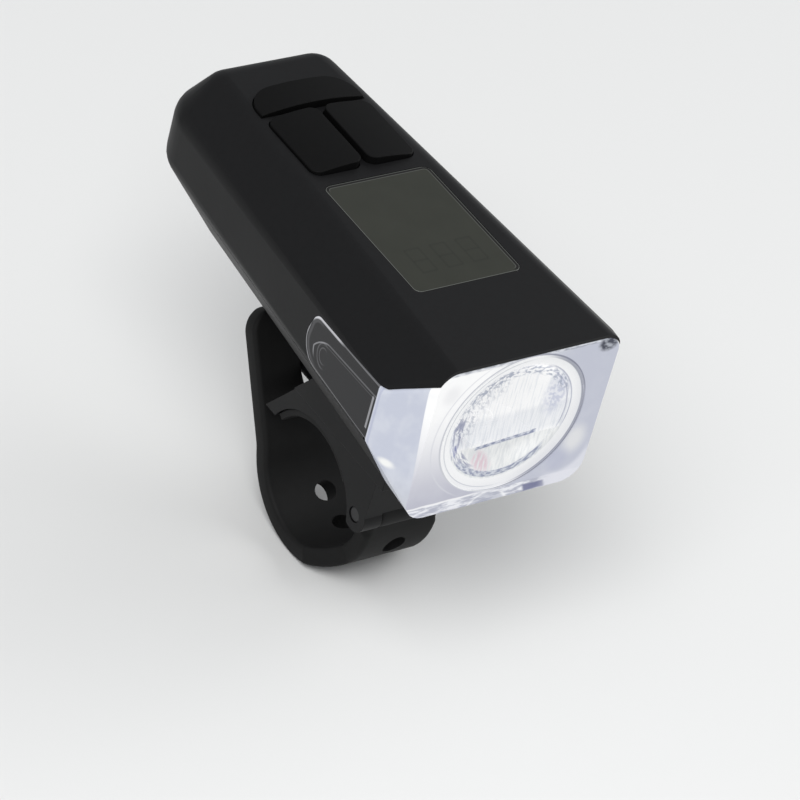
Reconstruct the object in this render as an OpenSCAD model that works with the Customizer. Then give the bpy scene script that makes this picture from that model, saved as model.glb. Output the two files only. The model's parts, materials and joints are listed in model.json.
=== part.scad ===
// Bicycle headlight with a display on top, on a strap bracket for the handlebar.
// Origin on the clamp axis, X along the handlebar, -Y the way the beam points, +Z up, millimetres.

/* [Housing] */
// Length from the lens face to the rear wall
lamp_len = 96; // [95.4:0.2:102]
// Distance from the clamp axis forward to the lens face
front_reach = 36.6; // [34.8:0.2:40]
// Height of the housing
lamp_h = 34.2; // [32.4:0.2:40]
// Height of the underside above the clamp axis
lamp_lift = 23.3; // [23:0.1:27]
// Width across the shoulders at the front
width_front = 51.4; // [49:0.2:56]
// Width at the rear end
width_rear = 40; // [39:0.2:44]
// Width of the flat top at its rear edge
top_flat_rear = 19.8; // [19.2:0.2:21]
// Radius of the round edge along each side of the top
crown_r = 5; // [4:0.1:6]
// Height that the upper bevel drops from the top
bevel_drop = 7.2; // [6.8:0.1:9]
// Height of the lower bevel above the underside
belly_rise = 13.2; // [12:0.1:14]
// Width of the flat underside at its rear end
belly_flat = 19.6; // [19.2:0.2:22]
// Plan radius of the rear corners
rear_corner_r = 10.4; // [9.6:0.2:11]
// Radius of the upper edge round the rear end
rear_high_r = 5; // [4.4:0.1:5.4]
// Radius of the lower edge round the rear end
rear_low_r = 4; // [3.6:0.1:4.4]
// Height that the rear end's upper edge lies below the top
rear_drop = 4.7; // [4.4:0.1:5.2]
// How far the flat top ends forward of the rear wall
rear_bevel = 8; // [7.4:0.1:8.6]
// How far the underside stands forward of the rear wall
belly_setback = 10.4; // [9.6:0.2:10.8]
// Radius of the outer edges
edge_r = 1.2; // [0.6:0.1:1.6]
// Wall of the shells
wall = 2; // [1.8:0.1:2.2]
// Gap at the parting line, filled by the seal inside
parting_gap = 0.4; // [0.3:0.05:0.6]

/* [Lens] */
// Width of the flat lens face
face_width = 39.2; // [37.4:0.2:42]
// Radius of the face's upper corners
face_top_r = 3.5; // [3.2:0.1:6]
// Radius of the face's lower corners
face_low_r = 4.5; // [3:0.1:6]
// Depth of the slanted side facets
facet_depth = 8.6; // [8:0.1:10]
// Thickness of the lens cup
lens_t = 1.2; // [1.1:0.05:1.4]
// Thickness of the roof lip over the lens
lip_t = 0.8; // [0.6:0.05:1]
// Length of the side windows behind the facets
window_len = 24.2; // [18:0.2:26]
// Height of the side windows
window_h = 12.3; // [11:0.1:12.4]
// Fall of the windows' upper edge towards the rear
window_fall = 1.8; // [0.6:0.1:2.4]
// Radius of the windows' upper rear corner
window_high_r = 2.6; // [1.6:0.1:3.2]
// Radius of the windows' lower rear corner
window_low_r = 5; // [3.5:0.1:5.4]
// Distance of the upper rear corner ahead of the lower one
window_lean = 0.9; // [0.4:0.1:1.6]
// Thickness of the side windows
window_t = 1.2; // [0.9:0.05:1.3]
// Margin round the shallow pocket inside a side window
pocket_margin = 2.9; // [2.4:0.1:3.4]
// Depth of that pocket
pocket_deep = 0.5; // [0.3:0.05:0.6]
// Thickness of the lens seal
seal_t = 0.8; // [0.6:0.05:1.2]
// Fit gap between the lens and the shells
lens_gap = 0.12; // [0.05:0.01:0.2]

/* [Optics] */
// Height of the beam axis above the underside
beam_h = 17.7; // [17.2:0.1:17.9]
// Outer radius of the ring line moulded in the lens face
halo_r = 15.3; // [14.4:0.1:15.4]
// Width of that ring line
halo_w = 0.35; // [0.2:0.05:0.5]
// Outer radius of the light ring
ring_r = 13.3; // [13.2:0.05:13.4]
// Radius of the reflector's mouth
mouth_r = 12.3; // [11.6:0.1:12.4]
// Depth of the reflector's bowl
bowl_deep = 12.6; // [11:0.2:13]
// Wall of the reflector
bowl_t = 1.2; // [1:0.1:1.4]
// Number of flutes across the mouth
flute_count = 11; // [7:2:15]
// Depth of a flute
flute_deep = 0.5; // [0.3:0.05:0.7]
// Thickness of the bezel
bezel_t = 1.2; // [0.9:0.05:1.4]
// Thickness of the light ring
ring_t = 0.5; // [0.4:0.05:0.7]
// Width of the emitter board
led_board_w = 13; // [12:0.2:14]
// Thickness of the emitter board
led_board_t = 1; // [0.8:0.1:1.6]
// Drop of the emitter board below the beam axis
led_drop = 4.8; // [4.2:0.1:5.2]
// Width of the emitter
led_w = 3.4; // [2.8:0.1:4]
// Width of the heat sink
sink_w = 16; // [14:0.2:17]
// Length of the heat sink
sink_len = 5; // [4.4:0.1:5.6]
// Number of heat sink fins
sink_fins = 5; // [3:1:6]

/* [Display and buttons] */
// Distance from the lens face to the middle of the display
display_back = 36.9; // [36.4:0.1:37.4]
// Width of the display window
display_w = 23.4; // [22.4:0.1:24.4]
// Length of the display window
display_len = 32; // [31:0.1:32.4]
// Corner radius of the display window
display_r = 1.8; // [1:0.1:3]
// Thickness of the display window
display_t = 1.2; // [1:0.05:1.3]
// Ledge that carries the display window
display_ledge = 0.6; // [0.5:0.05:1]
// Thickness of the display panel
panel_t = 2; // [1.6:0.1:2.2]
// Distance from the display window to the front buttons
keys_gap = 2.9; // [2.4:0.1:4]
// Distance of the rear button's rear edge from the rear wall
mode_end = 14.4; // [13.8:0.1:15.4]
// Width of the button field
keys_w = 23; // [22:0.1:23.6]
// Length of the rear button
mode_len = 7.3; // [6:0.1:7.4]
// Width of the ribs between the buttons
key_rib = 0.9; // [0.85:0.05:1.2]
// Corner radius of the buttons
key_r = 2.2; // [1.2:0.1:3]
// Corner radius of the rear button's rear corners
mode_r = 5.5; // [4:0.1:5.8]
// Radius of the crown across the buttons
key_crown_r = 60; // [50:1:90]
// How far a button stands proud of the top
key_proud = 1.6; // [1.5:0.05:2]
// Travel of a button
key_travel = 0.8; // [0.4:0.05:0.8]
// Gap round a button
key_gap = 0.2; // [0.18:0.01:0.25]
// Width of the flange that keeps a button in
key_flange = 0.45; // [0.35:0.05:0.48]
// Width of the main board
board_w = 27; // [26:0.2:27.6]
// Thickness of the main board
board_t = 1.6; // [1.2:0.1:1.8]

/* [Battery and charging] */
// Diameter of the cell
cell_d = 18.2; // [17.6:0.1:18.4]
// Distance from the heat sink to the cell
cell_fore = 8; // [6:0.1:12]
// Distance from the cell's rear end to the rear wall
cell_back = 17.6; // [17.5:0.1:18.2]
// Height of the cradle's trough under the cell
cradle_floor = 1.4; // [1.2:0.1:2]
// Width of the cradle
cradle_w = 17.2; // [16.6:0.1:17.4]
// Width of the charging socket
port_w = 8.4; // [7.8:0.1:9]
// Height of the charging socket
port_h = 3.2; // [2.8:0.1:3.4]
// Height of the socket's middle above the underside
port_lift = 20.6; // [20.2:0.1:21]
// Width of the socket's cover
cover_w = 15; // [14:0.1:16]
// Height of the cover
cover_h = 8; // [7.4:0.1:8.4]
// Thickness of the cover
cover_t = 1.3; // [1.1:0.05:1.4]
// Radius of the cover's hinge bead
cover_bead_r = 0.65; // [0.55:0.01:0.7]

/* [Fasteners] */
// Radius of a shell screw
screw_r = 1.25; // [1:0.05:1.4]
// Radius of a screw boss
boss_r = 3.1; // [2.8:0.1:3.3]
// Depth of the screw heads below the underside
head_sink = 3; // [2.4:0.1:4]
// Sideways place of the front screws
screw_front_x = 12; // [11.9:0.1:12.4]
// Distance of the front screws behind the lens face
screw_front_back = 15.1; // [14.6:0.1:15.6]
// Sideways place of the rear screws
screw_rear_x = 5.6; // [5.2:0.1:5.8]
// Distance of the rear screws from the rear wall
screw_rear_in = 12.4; // [12.2:0.1:12.5]

/* [Rail and swivel] */
// Width of the rail's head
rail_w = 18; // [16:0.2:20]
// Width of the rail's neck
neck_w = 12; // [10:0.2:13]
// Height of the rail's head
rail_h = 2.3; // [2:0.1:2.6]
// Height of the rail's neck
neck_h = 1.6; // [1.4:0.1:2]
// Length of the rail
rail_len = 26; // [24:0.2:28]
// Distance of the rail's rear end behind the clamp axis
rail_end = 1; // [0:0.1:1.6]
// Sliding gap round the rail
rail_gap = 0.15; // [0.1:0.01:0.2]
// Width of the swivel shoe
shoe_w = 26; // [24.6:0.2:28]
// Height of the shoe's floor under the rail
shoe_floor = 2.3; // [2.2:0.05:2.6]
// Distance of the shoe's front end ahead of the clamp axis
shoe_front = 22.4; // [21.6:0.1:23]
// Thickness of the stop behind the rail
shoe_stop = 2.6; // [2:0.1:3]
// Lean of the bracket's rear face, as length over height
rear_lean = 0.75; // [0.5:0.01:0.85]
// Distance of the swivel axis ahead of the clamp axis
swivel_fore = 12; // [11.8:0.1:12.3]
// Radius of the swivel hub
hub_r = 4.5; // [4.2:0.05:4.6]
// Depth of the hub in the saddle
hub_deep = 2; // [1.6:0.1:2.2]
// Running gap of the hub
hub_gap = 0.05; // [0.02:0.01:0.08]
// Radius of the swivel screw
swivel_screw_r = 1.7; // [1.5:0.1:1.8]
// Radius of the swivel screw's head
swivel_head_r = 3.3; // [3:0.1:3.4]
// Width across the flats of the nut
nut_flats = 6.4; // [6:0.1:6.6]
// Height of the nut
nut_h = 2.2; // [1.8:0.1:2.4]
// Width of the release tongue
tongue_w = 8; // [6:0.2:10]
// Thickness of the release tongue
tongue_t = 1.4; // [1.2:0.1:1.5]
// How far the tongue's press pad stands out in front of the shoe
tongue_out = 6; // [4:0.2:8]
// Height of the tongue's tooth in the rail
tooth_h = 0.8; // [0.5:0.05:0.9]

/* [Clamp] */
// Diameter of the handlebar
bar_d = 25.4; // [24.4:0.1:26.4]
// Width of the bracket and of the strap
clamp_w = 24; // [22.8:0.2:26]
// Thickness of the saddle pad
pad_t = 1.5; // [1.2:0.05:1.6]
// Thickness of the strap
strap_t = 3.8; // [3.4:0.1:4]
// Width of the strap's eye
eye_w = 15.6; // [14:0.2:17]
// Angle round the bar at which the strap starts to widen
taper_start = 216; // [206:1:222]
// Length over which it widens to the width of the clamp
taper_len = 8; // [6:0.5:11]
// Radius of the strap pin
pin_r = 1.5; // [1.2:0.05:1.8]
// Height of the strap pin above the clamp axis
pin_h = 5.5; // [5:0.1:6]
// Distance of the strap pin ahead of the handlebar's surface
pin_fore = 3; // [2.8:0.1:3.4]
// Radius of the strap's eye round its pin
eye_r = 3.4; // [3:0.05:3.6]
// Radius of the adjusting holes in the strap
strap_hole_r = 2.3; // [1.8:0.1:2.6]
// Angle between the adjusting holes
strap_hole_step = 34; // [30:1:36]
// Angle below the clamp axis at which the strap turns into its tab
tab_start = 12; // [8:1:16]
// Length of the pull tab
tab_len = 26.5; // [24:0.1:27]
// Lean of the pull tab from the vertical
tab_lean = 31; // [29:1:36]
// Angle that the pull tab swings back to be unhooked
tab_swing = 60; // [30:5:60]
// Radius of the hook peg
peg_r = 2; // [1.6:0.1:2.2]
// Height of the hook peg above the clamp axis
peg_h = 9.5; // [9:0.1:10]
// How far the hook peg stands out behind the clamp axis
peg_reach = 23; // [22:0.1:24]

/* [Hidden] */
$fn = 48;
// Share of a wall by which a slanted edge moves when the wall is offset
mitre = 0.45;
// Thickness of the flat discs that a hull is stretched over
skin = 0.02;
// Rounding and sides of the hidden inner faces
inner_e = 0.25;
inner_sides = 16;
// Largest extent of a cutting block
far = 120;
// Small gaps between pieces that lie on each other, and overlap of fused pieces
rest_gap = 0.05;
fuse = 0.3;

// Housing levels and stations
base_z = lamp_lift;
top_z = base_z + lamp_h;
belt_z1 = base_z + belly_rise;
belt_z2 = top_z - bevel_drop;
rear_z2 = top_z - rear_drop;
part_z = belt_z1;
face_y = -front_reach;
rear_y = face_y + lamp_len;
shoulder_y = face_y + facet_depth;
shell_y = shoulder_y + seal_t;
shoulder_r = 2;
belly_corner_r = 2.5;
crown_turn = 0.5;
roof_z = top_z - wall;
floor_z = base_z + wall;

// Side window
window_z2 = belt_z2 - 0.4;
window_z1 = window_z2 - window_h;
window_y2 = shoulder_y + window_len;
window_lap = 4;

// Optics
beam_z = base_z + beam_h;
ring_y = face_y + lens_t + rest_gap;
ring_in_r = mouth_r - 0.1;
mouth_y = ring_y + ring_t + rest_gap;
flange_r = ring_r - 0.1;
halo_deep = 0.3;
led_z = beam_z - led_drop;
led_board_y = mouth_y + 0.4;
sink_y = mouth_y + bowl_deep + bowl_t + 0.3;

// Display and buttons
display_y = face_y + display_back;
panel_z = roof_z - rest_gap - panel_t;
panel_w = display_w - 1;
panel_len = display_len - 1.6;
frame_rim = 1.2;
frame_t = 1;
board_z = panel_z - rest_gap - frame_t;
keys_y1 = display_y + display_len/2 + keys_gap;
mode_y1 = rear_y - mode_end - mode_len;
key_len = mode_y1 - key_rib - keys_y1;
board_front_y = display_y - display_len/2 - frame_rim - 0.2;
board_rear_y = min(mode_y1 + mode_len/2 + 2.9, rear_y - screw_rear_in - boss_r - 0.1);
flange_top = roof_z - 0.1;
flange_low = flange_top - 1;
switch_top = flange_low - key_travel - 0.1;
key_side_w = (keys_w - key_rib)/2;
key_side_x = (keys_w + key_rib)/4;

// Battery
cell_y2 = rear_y - cell_back;
cell_y1 = sink_y + sink_len + cell_fore;
cradle_z = floor_z + rest_gap;
cell_z = cradle_z + cradle_floor + cell_d/2 + rest_gap;
contact_t = 0.3;
contact_w = 12;
contact_h = 6;
cradle_end = 1.2;
cradle_wall_h = 5;

// Charging socket
port_z = base_z + port_lift;
recess_deep = cover_t + 0.1;
recess_y = rear_y - recess_deep;
cover_gap = 0.2;
grip_w = 8;
grip_h = 1.1;
grip_out = 0.5;
cover_y = recess_y + rest_gap;
cover_hinge_y = cover_y + cover_t/2;
cover_hinge_z = port_z - cover_h/2;
port_y1 = rear_y - screw_rear_in + boss_r + 0.1;
port_board_w = 12;
port_board_t = 1.2;

// Rail and shoe
rail_y2 = rail_end;
rail_y1 = rail_end - rail_len;
neck_z = base_z - neck_h;
rail_z = neck_z - rail_h;
channel_z = rail_z - rail_gap;
shoe_z = channel_z - shoe_floor;
shoe_top = base_z - 0.3;
shoe_rear = rail_end + rail_gap + shoe_stop;
saddle_top = shoe_z - 0.1;
swivel_y = -swivel_fore;
head_h = 1.9;
washer_t = 0.5;
head_recess = head_h + washer_t + 0.2;
tongue_hinge_y = -shoe_front + 5.8;
tongue_z = shoe_z + 0.5;
tongue_root_r = tongue_t/2;
tooth_len = 1.4;

// Clamp
bar_r = bar_d/2;
pad_r = bar_r + pad_t;
strap_r = bar_r + strap_t;
seat_gap = 0.05;
pad_a1 = 30;
pad_a2 = 140;
saddle_r = pad_r + seat_gap;
nut_z = sqrt(pow(saddle_r, 2) - pow(swivel_fore - nut_flats/2, 2)) + 0.1;
pin_y = -bar_r - pin_fore;
tab_angle = -tab_start;
tab_root_r = strap_t/2;
tab_corner_r = 4.5;
tab_mid_r = bar_r + strap_t/2;
tab_y = tab_mid_r*cos(tab_angle);
tab_z = tab_mid_r*sin(tab_angle);

// Plane rectangle with round corners, centred
module rounded_rect(w, h, r) {
    square([w - 2*r, h], center = true);
    square([w, h - 2*r], center = true);
    for (x = [-1, 1], y = [-1, 1])
        translate([x*(w/2 - r), y*(h/2 - r)]) circle(r);
}

// Extrusion along X of an outline drawn in Y and Z, centred on X
module across(w) {
    translate([-w/2, 0, 0]) rotate([90, 0, 90]) linear_extrude(w) children();
}

// Cylinder along X, centred on X
module bar_x(r, w, y = 0, z = 0) {
    translate([-w/2, y, z]) rotate([0, 90, 0]) cylinder(r = r, h = w);
}

// Cylinder along Y from y1 to y2
module bar_y(r, y1, y2, x = 0, z = 0) {
    translate([x, y1, z]) rotate([-90, 0, 0]) cylinder(r = r, h = y2 - y1);
}

// Everything in front of a station, or below a level
module ahead_of(y) {
    translate([-far, -far, -far]) cube([2*far, far + y, 2*far]);
}
module below(z) {
    translate([-far, -far, -far]) cube([2*far, 2*far, far + z]);
}

// Round bead with a rounded rim, the corner of a hulled body
module bead(r, e, sides, rim_sides = 12) {
    rotate_extrude($fn = sides) intersection() {
        translate([max(r - e, 0), 0]) circle(min(e, r), $fn = rim_sides);
        translate([0, -far]) square(2*far);
    }
}

// Flat disc in the plane of the lens face
module face_disc(x, y, z, r, sides) {
    translate([x, y + skin, z]) rotate([90, 0, 0]) cylinder(r = r, h = skin, $fn = sides);
}

// Body of the lamp, offset inwards by inset, with its top lowered by drop.
// A negative inset grows it sideways only.
module body(inset = 0, drop = 0, e = edge_r, sides = 24) {
    t = max(inset, 0);
    m = mitre*inset;
    corner_r = max(rear_corner_r - inset, 0.3);
    side_r = max(shoulder_r - inset, 0.3);
    low_r = max(face_low_r - inset, 0.3);
    high_r = max(face_top_r - inset, 0.3);
    edge = max(crown_r - inset, 0.3);
    roof = top_z - t - drop;
    hull() for (s = [-1, 1]) {
        for (z = [belt_z1 + mitre*t + e, belt_z2 - mitre*t - drop - e])
            translate([s*(width_front/2 - inset - side_r), shoulder_y + m, z])
                bead(side_r, min(e, side_r), sides);
        translate([s*(width_rear/2 - rear_corner_r), rear_y - rear_corner_r, belt_z1 + rear_low_r])
            bead(corner_r, max(rear_low_r - t, 0.3), 1.5*sides, sides);
        translate([s*(width_rear/2 - rear_corner_r), rear_y - rear_corner_r, rear_z2 - drop - rear_high_r])
            bead(corner_r, max(rear_high_r - t, 0.3), 1.5*sides, 1.5*sides);
        translate([s*(top_flat_rear/2 - crown_turn), rear_y - rear_bevel - crown_turn, roof - edge])
            bead(edge + crown_turn, edge, sides, 2*sides);
        translate([s*(belly_flat/2 - m - belly_corner_r), rear_y - belly_setback - m - belly_corner_r, base_z + t + e])
            bead(belly_corner_r, e, sides);
        face_disc(s*(face_width/2 - m - high_r), face_y + inset, roof - high_r, high_r, 2*sides);
        face_disc(s*(face_width/2 - m - low_r), face_y + inset, base_z + t + low_r, low_r, sides);
    }
}

// Outline that narrows and rounds off towards the rear, drawn in Y and Z
module rear_tongue(y1, y2, z1, z2, high_r, low_r, front_r = 0.8) {
    hull() {
        for (z = [z1 + front_r, z2 - front_r]) translate([y1 + front_r, z]) circle(front_r);
        translate([y2 - window_lean - high_r, z2 - window_fall - high_r]) circle(high_r);
        translate([y2 - low_r, z1 + low_r]) circle(low_r);
    }
}

// Side window outline, carried right across the lamp
module window_prism(grow = 0) {
    across(2*far)
        rear_tongue(shoulder_y - window_lap, window_y2 + grow, window_z1 - grow, window_z2 + grow,
            window_high_r + grow, window_low_r + grow);
}

// Outline of the pocket inside a side window
module pocket_prism() {
    across(2*far)
        rear_tongue(shoulder_y + 0.6, window_y2 - pocket_margin, window_z1 + pocket_margin/3,
            window_z2 - pocket_margin, window_high_r - 0.2*pocket_margin, window_low_r - 0.5*pocket_margin);
}

// Places of the shell screws
module at_screws() {
    for (s = [-1, 1]) {
        translate([s*screw_front_x, face_y + screw_front_back, 0]) children();
        translate([s*screw_rear_x, rear_y - screw_rear_in, 0]) children();
    }
}

// Outline of a button, by its index: 0 left, 1 right, 2 mode
module key_outline(index, grow = 0) {
    if (index == 2)
        intersection() {
            translate([0, mode_y1]) rounded_rect(keys_w + 2*grow, 2*(mode_len + grow), mode_r + grow);
            translate([-far, mode_y1 - grow]) square([2*far, far]);
        }
    else
        translate([(index == 0 ? -1 : 1)*key_side_x, keys_y1 + key_len/2])
            rounded_rect(key_side_w + 2*grow, key_len + 2*grow, key_r + grow);
}

module upper_shell() {
    color("#17181a") difference() {
        union() {
            difference() {
                body();
                below(part_z + parting_gap/2);
                body(wall, 0, inner_e, inner_sides);
            }
            at_screws() translate([0, 0, part_z + parting_gap/2])
                cylinder(r = boss_r, h = roof_z - part_z);
        }
        intersection() {
            body(-fuse, lip_t - lens_gap);
            ahead_of(shell_y);
        }
        difference() {
            intersection() {
                body(-fuse, -fuse);
                window_prism(lens_gap);
            }
            body(window_t + lens_gap, 0, inner_e, inner_sides);
        }
        translate([0, display_y, top_z - display_t - rest_gap]) linear_extrude(wall)
            rounded_rect(display_w + 2*rest_gap, display_len + 2*rest_gap, display_r + rest_gap);
        translate([0, display_y, roof_z - wall]) linear_extrude(2*wall)
            rounded_rect(display_w - 2*display_ledge, display_len - 2*display_ledge, display_r);
        for (i = [0:2]) {
            translate([0, 0, roof_z - wall]) linear_extrude(3*wall) key_outline(i);
            translate([0, 0, flange_low - key_travel - 0.2]) linear_extrude(roof_z - flange_low + key_travel + 0.2)
                key_outline(i, key_flange + 0.1);
        }
        at_screws() translate([0, 0, part_z - 1])
            cylinder(r = screw_r + rest_gap, h = roof_z - part_z - 4);
        port_cut();
    }
}

// Recess for the cover and the socket's opening in the rear wall
module port_cut() {
    recess_h = cover_h + cover_bead_r + 2*cover_gap;
    translate([0, recess_y, port_z + cover_h/2 + cover_gap - recess_h/2])
        rotate([-90, 0, 0]) linear_extrude(wall)
            rounded_rect(cover_w + 2*cover_gap, recess_h, 0.6);
    translate([-port_w/2 - rest_gap, recess_y - 2*wall, port_z - port_h/2 - rest_gap])
        cube([port_w + 2*rest_gap, 3*wall, port_h + 2*rest_gap]);
}

module lower_shell() {
    color("#141517") difference() {
        union() {
            difference() {
                intersection() {
                    body();
                    below(part_z - parting_gap/2);
                }
                body(wall, 0, inner_e, inner_sides);
            }
            intersection() {
                at_screws() translate([0, 0, base_z]) cylinder(r = boss_r, h = part_z - parting_gap/2 - base_z);
                body(wall/2, 0, inner_e, inner_sides);
            }
            translate([-neck_w/2, rail_y1, neck_z - fuse]) cube([neck_w, rail_len, neck_h + 2*fuse]);
            translate([-rail_w/2, rail_y1, rail_z]) cube([rail_w, rail_len, rail_h]);
        }
        ahead_of(shell_y);
        at_screws() {
            translate([0, 0, base_z - 1]) cylinder(r = 2*screw_r + 0.2, h = head_sink + 1);
            cylinder(r = screw_r + 0.15, h = far);
        }
        tooth_cut();
    }
}

// Notch in the rail's underside for the tongue's tooth
module tooth_cut() {
    translate([-tongue_w/2 - 0.3, -shoe_front - 0.2, rail_z - 1])
        cube([tongue_w + 0.6, tooth_len + 0.5, tooth_h + 1.3]);
}

module shell_seal() {
    color("#0c0c0d") difference() {
        intersection() {
            body(0.25*wall, 0, inner_e, inner_sides);
            translate([-far, shell_y + 0.2, part_z - parting_gap/2 + 0.02])
                cube([2*far, far, parting_gap - 0.04]);
        }
        body(0.8*wall, 0, inner_e, inner_sides);
        at_screws() cylinder(r = boss_r + 0.1, h = far);
    }
}

module shell_screws() {
    color("#9aa0a6") at_screws() difference() {
        union() {
            translate([0, 0, base_z + head_sink - rest_gap - 1.4]) cylinder(r = 2*screw_r, h = 1.4);
            translate([0, 0, base_z + head_sink - fuse])
                cylinder(r = screw_r, h = roof_z - base_z - head_sink - 6);
        }
        translate([0, 0, base_z + head_sink - 2]) cylinder(r = screw_r*0.8, h = 1.4, $fn = 6);
    }
}

module front_lens() {
    color("#e8f0f8", 0.4) difference() {
        union() {
            intersection() {
                body(0, lip_t);
                ahead_of(shoulder_y);
            }
            difference() {
                intersection() {
                    body();
                    window_prism();
                }
                body(window_t, 0, inner_e, inner_sides);
                ahead_of(shoulder_y - fuse);
            }
        }
        intersection() {
            body(lens_t, lip_t, inner_e, inner_sides);
            ahead_of(shoulder_y);
        }
        intersection() {
            body(window_t - pocket_deep, 0, inner_e, inner_sides);
            pocket_prism();
        }
        difference() {
            bar_y(halo_r, face_y - 1, face_y + halo_deep, 0, beam_z);
            bar_y(halo_r - halo_w, face_y - 2, face_y + 1, 0, beam_z);
        }
    }
}

module lens_seal() {
    color("#0c0c0d") difference() {
        intersection() {
            body(0.25*wall, lip_t, inner_e, inner_sides);
            translate([-far, shoulder_y + rest_gap, 0]) cube([2*far, seal_t - 2*rest_gap, far]);
        }
        body(0.9*wall, lip_t, inner_e, inner_sides);
        difference() {
            window_prism(lens_gap);
            body(window_t + lens_gap, 0, inner_e, inner_sides);
        }
    }
}

module lens_bezel() {
    color("#f4f6f8") difference() {
        intersection() {
            body(lens_t + 0.15, lip_t, inner_e, inner_sides);
            ahead_of(shoulder_y - 0.4);
        }
        body(lens_t + 0.15 + bezel_t, lip_t, inner_e, inner_sides);
        bar_y(ring_r + 0.1, face_y, shoulder_y, 0, beam_z);
    }
}

module light_ring() {
    color("#ffffff") translate([0, ring_y, beam_z]) rotate([-90, 0, 0]) rotate_extrude()
        polygon([[ring_in_r + 0.3, 0], [ring_r, 0], [ring_r, ring_t], [ring_in_r, ring_t], [ring_in_r, ring_t/2]]);
}

// Depth of the bowl at a radius, and of a flute in its upper half
function bowl_at(r) = bowl_deep*(1 - pow(r/mouth_r, 2));
function flute_at(x, z) = z > 0 ? flute_deep*(1 - cos(180*flute_count*(x/mouth_r + 1)))/2 : 0;
bowl_rings = 9;
bowl_sides = 44;
function bowl_point(i, j, back) =
    let (r = mouth_r*i/bowl_rings, a = 360*j/bowl_sides, x = r*cos(a), z = r*sin(a))
    [x, mouth_y + bowl_at(r) - (back > 0 ? 0 : flute_at(x, z)*(1 - pow(i/bowl_rings, 3))) + back, beam_z + z];
function bowl_index(i, j, back) =
    (back > 0 ? 1 + bowl_rings*bowl_sides : 0) + (i == 0 ? 0 : 1 + (i - 1)*bowl_sides + j % bowl_sides);

// Bowl made of two sheets of rings, with its rim closed
module bowl() {
    points = [
        for (back = [0, bowl_t], i = [0:bowl_rings], j = [0:(i == 0 ? 0 : bowl_sides - 1)])
            bowl_point(i, j, back)
    ];
    tip = [for (back = [0, bowl_t], j = [0:bowl_sides - 1]) let (f = [
        bowl_index(0, 0, back), bowl_index(1, j + 1, back), bowl_index(1, j, back)
    ]) back > 0 ? [f[0], f[2], f[1]] : f];
    sheet = [for (back = [0, bowl_t], i = [1:bowl_rings - 1], j = [0:bowl_sides - 1], half = [0, 1])
        let (a = bowl_index(i, j, back), b = bowl_index(i, j + 1, back),
            c = bowl_index(i + 1, j + 1, back), d = bowl_index(i + 1, j, back),
            f = half == 0 ? [a, b, c] : [a, c, d])
        back > 0 ? [f[0], f[2], f[1]] : f];
    rim = [for (j = [0:bowl_sides - 1], half = [0, 1])
        let (a = bowl_index(bowl_rings, j, 0), b = bowl_index(bowl_rings, j + 1, 0),
            c = bowl_index(bowl_rings, j + 1, bowl_t), d = bowl_index(bowl_rings, j, bowl_t))
        half == 0 ? [a, b, c] : [a, c, d]];
    polyhedron(points, concat(tip, sheet, rim));
}

module reflector() {
    color("#d8dce2") difference() {
        union() {
            bowl();
            translate([0, mouth_y, beam_z]) rotate([-90, 0, 0]) difference() {
                cylinder(r = flange_r, h = 1);
                translate([0, 0, -1]) cylinder(r = mouth_r - 0.35, h = 3);
            }
        }
        translate([-led_board_w/2 - 0.15, led_board_y, led_z - led_board_t - 0.15])
            cube([led_board_w + 0.3, far, led_board_t + 0.3]);
    }
}

module led_board() {
    color("#e9ebe6")
        translate([-led_board_w/2, led_board_y, led_z - led_board_t])
            cube([led_board_w, sink_y + sink_len - led_board_y, led_board_t]);
}

module led_emitter() {
    color("#f6e27a") translate([0, led_board_y + 5.4, led_z + 0.02]) {
        translate([-led_w/2, -led_w/2, 0]) cube([led_w, led_w, 0.7]);
        translate([0, 0, 0.6]) intersection() {
            sphere(led_w*0.4);
            cylinder(r = led_w, h = led_w);
        }
    }
}

module heat_sink() {
    high = led_z - led_board_t - rest_gap - (floor_z + rest_gap);
    pitch = sink_w/sink_fins;
    color("#aeb4ba") translate([0, sink_y, floor_z + rest_gap]) {
        translate([-sink_w/2, 0, 0]) cube([sink_w, sink_len*0.4, high]);
        translate([-sink_w/2, 0, high - 1.6]) cube([sink_w, sink_len, 1.6]);
        for (i = [0:sink_fins - 1])
            translate([-sink_w/2 + i*pitch + pitch*0.25, 0, 0]) cube([pitch*0.5, sink_len, high]);
    }
}

module display_window() {
    color("#39403c", 0.5) translate([0, display_y, top_z - display_t]) linear_extrude(display_t)
        rounded_rect(display_w, display_len, display_r);
}

module display_panel() {
    color("#6d7468") translate([-panel_w/2, display_y - panel_len/2, panel_z])
        cube([panel_w, panel_len, panel_t]);
}

module display_frame() {
    w = panel_w + 2*frame_rim;
    len = panel_len + 2*frame_rim;
    color("#e4e6e4") difference() {
        translate([-w/2, display_y - len/2, board_z]) cube([w, len, panel_t + frame_t]);
        translate([-panel_w/2 - rest_gap, display_y - panel_len/2 - rest_gap, panel_z - rest_gap])
            cube([panel_w + 2*rest_gap, panel_len + 2*rest_gap, far]);
    }
}

module main_board() {
    color("#1f5a36") translate([-board_w/2, board_front_y, board_z - rest_gap - board_t])
        cube([board_w, board_rear_y - board_front_y, board_t]);
}

module key_switches() {
    low = board_z;
    color("#2b2b2b") for (p = [[-key_side_x, keys_y1 + key_len/2], [key_side_x, keys_y1 + key_len/2],
            [0, mode_y1 + mode_len/2]])
        translate([p[0], p[1], low]) {
            translate([-2.2, -2.2, 0]) cube([4.4, 4.4, (switch_top - low)*0.75]);
            cylinder(r = 1.2, h = switch_top - low);
        }
}

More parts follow.
